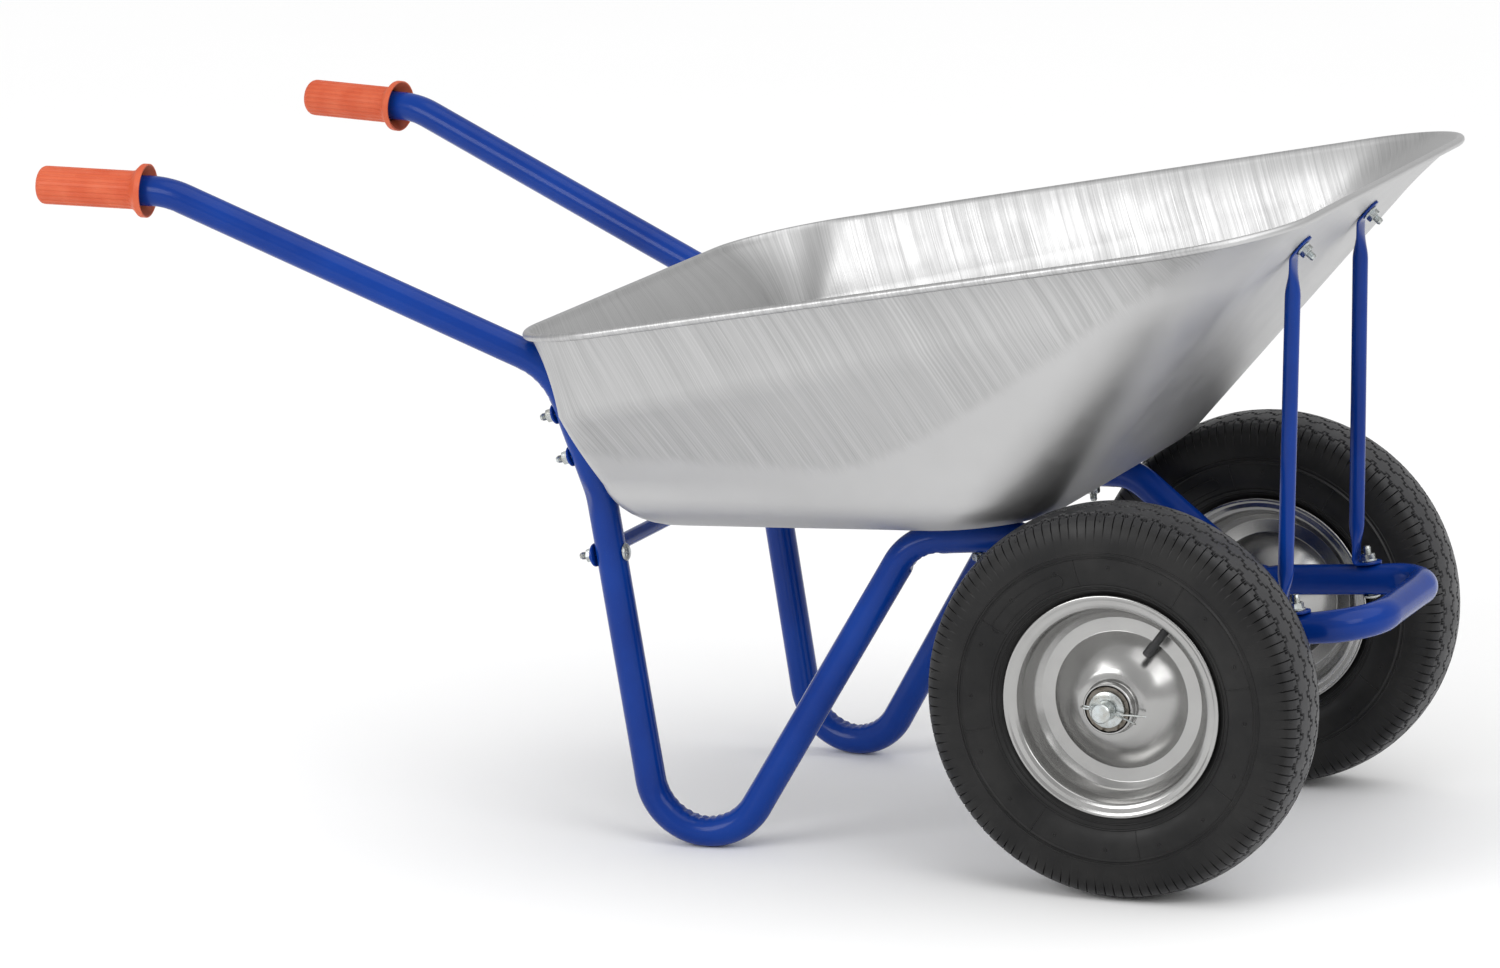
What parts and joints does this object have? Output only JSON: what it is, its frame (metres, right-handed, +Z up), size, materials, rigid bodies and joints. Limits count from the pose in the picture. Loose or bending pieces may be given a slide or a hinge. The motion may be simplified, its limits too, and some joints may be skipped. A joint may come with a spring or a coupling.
{
  "type": "two-wheel wheelbarrow",
  "caption": "Wheelbarrow with a pressed steel tray on a single bent tube frame, orange grips, front struts, and pneumatic wheels turning on a fixed cross axle.",
  "frame": {"origin": "On the ground, under the middle of the bounding box", "axes": "+X forwards, from the grips to the front lip of the tray; +Y to the left; +Z up"},
  "size_m": [1.3964, 0.7436, 0.7067],
  "materials": {
    "blue_paint": "gloss blue paint on steel tube",
    "galvanised": "galvanised pressed sheet, satin, with faint drawing marks",
    "zinc_plate": "bright zinc plate",
    "rim_steel": "zinc-plated pressed steel, bright",
    "tyre_rubber": "matt black rubber",
    "tube_rubber": "black rubber",
    "orange_plastic": "orange moulded plastic with lengthwise flutes",
    "bearing_steel": "ground bearing steel"
  },
  "bodies": {
    "frame": {"axle": "zinc_plate", "axle_bracket_left": "blue_paint", "axle_bracket_right": "blue_paint", "axle_sleeve_left": "zinc_plate", "axle_sleeve_right": "zinc_plate", "axle_washer_left": "zinc_plate", "axle_washer_right": "zinc_plate", "brace_left_bolt": "zinc_plate", "brace_left_nut": "zinc_plate", "brace_right_bolt": "zinc_plate", "brace_right_nut": "zinc_plate", "cotter_pin_left": "zinc_plate", "cotter_pin_right": "zinc_plate", "frame_tube": "blue_paint", "front_strut_left": "blue_paint", "front_strut_right": "blue_paint", "grip_left": "orange_plastic", "grip_right": "orange_plastic", "rear_brace": "blue_paint", "strut_foot_left_bolt": "zinc_plate", "strut_foot_left_nut": "zinc_plate", "strut_foot_right_bolt": "zinc_plate", "strut_foot_right_nut": "zinc_plate", "strut_head_left_bolt": "zinc_plate", "strut_head_left_nut": "zinc_plate", "strut_head_right_bolt": "zinc_plate", "strut_head_right_nut": "zinc_plate", "tray": "galvanised", "tray_floor_left_bolt": "zinc_plate", "tray_floor_left_nut": "zinc_plate", "tray_floor_right_bolt": "zinc_plate", "tray_floor_right_nut": "zinc_plate", "tray_rear_lower_left_bolt": "zinc_plate", "tray_rear_lower_left_nut": "zinc_plate", "tray_rear_lower_left_washer": "blue_paint", "tray_rear_lower_right_bolt": "zinc_plate", "tray_rear_lower_right_nut": "zinc_plate", "tray_rear_lower_right_washer": "blue_paint", "tray_rear_upper_left_bolt": "zinc_plate", "tray_rear_upper_left_nut": "zinc_plate", "tray_rear_upper_left_washer": "blue_paint", "tray_rear_upper_right_bolt": "zinc_plate", "tray_rear_upper_right_nut": "zinc_plate", "tray_rear_upper_right_washer": "blue_paint"},
    "wheel_left": {"tyre_left": "tyre_rubber", "inner_tube_left": "tube_rubber", "valve_stem_left": "tube_rubber", "rim_outer_left": "rim_steel", "rim_inner_left": "rim_steel", "hub_tube_left": "rim_steel", "bearing_outer_left": "bearing_steel", "bearing_inner_left": "bearing_steel"},
    "wheel_right": {"tyre_right": "tyre_rubber", "inner_tube_right": "tube_rubber", "valve_stem_right": "tube_rubber", "rim_outer_right": "rim_steel", "rim_inner_right": "rim_steel", "hub_tube_right": "rim_steel", "bearing_outer_right": "bearing_steel", "bearing_inner_right": "bearing_steel"}
  },
  "joints": [
    {"name": "wheel_left_spin", "type": "hinge", "parent": "frame", "child": "wheel_left", "pos_m": [0.46525, 0.2367, 0.2], "axis": [0, 1, 0], "continuous": true},
    {"name": "wheel_right_spin", "type": "hinge", "parent": "frame", "child": "wheel_right", "pos_m": [0.46525, -0.2367, 0.2], "axis": [0, 1, 0], "continuous": true}
  ]
}
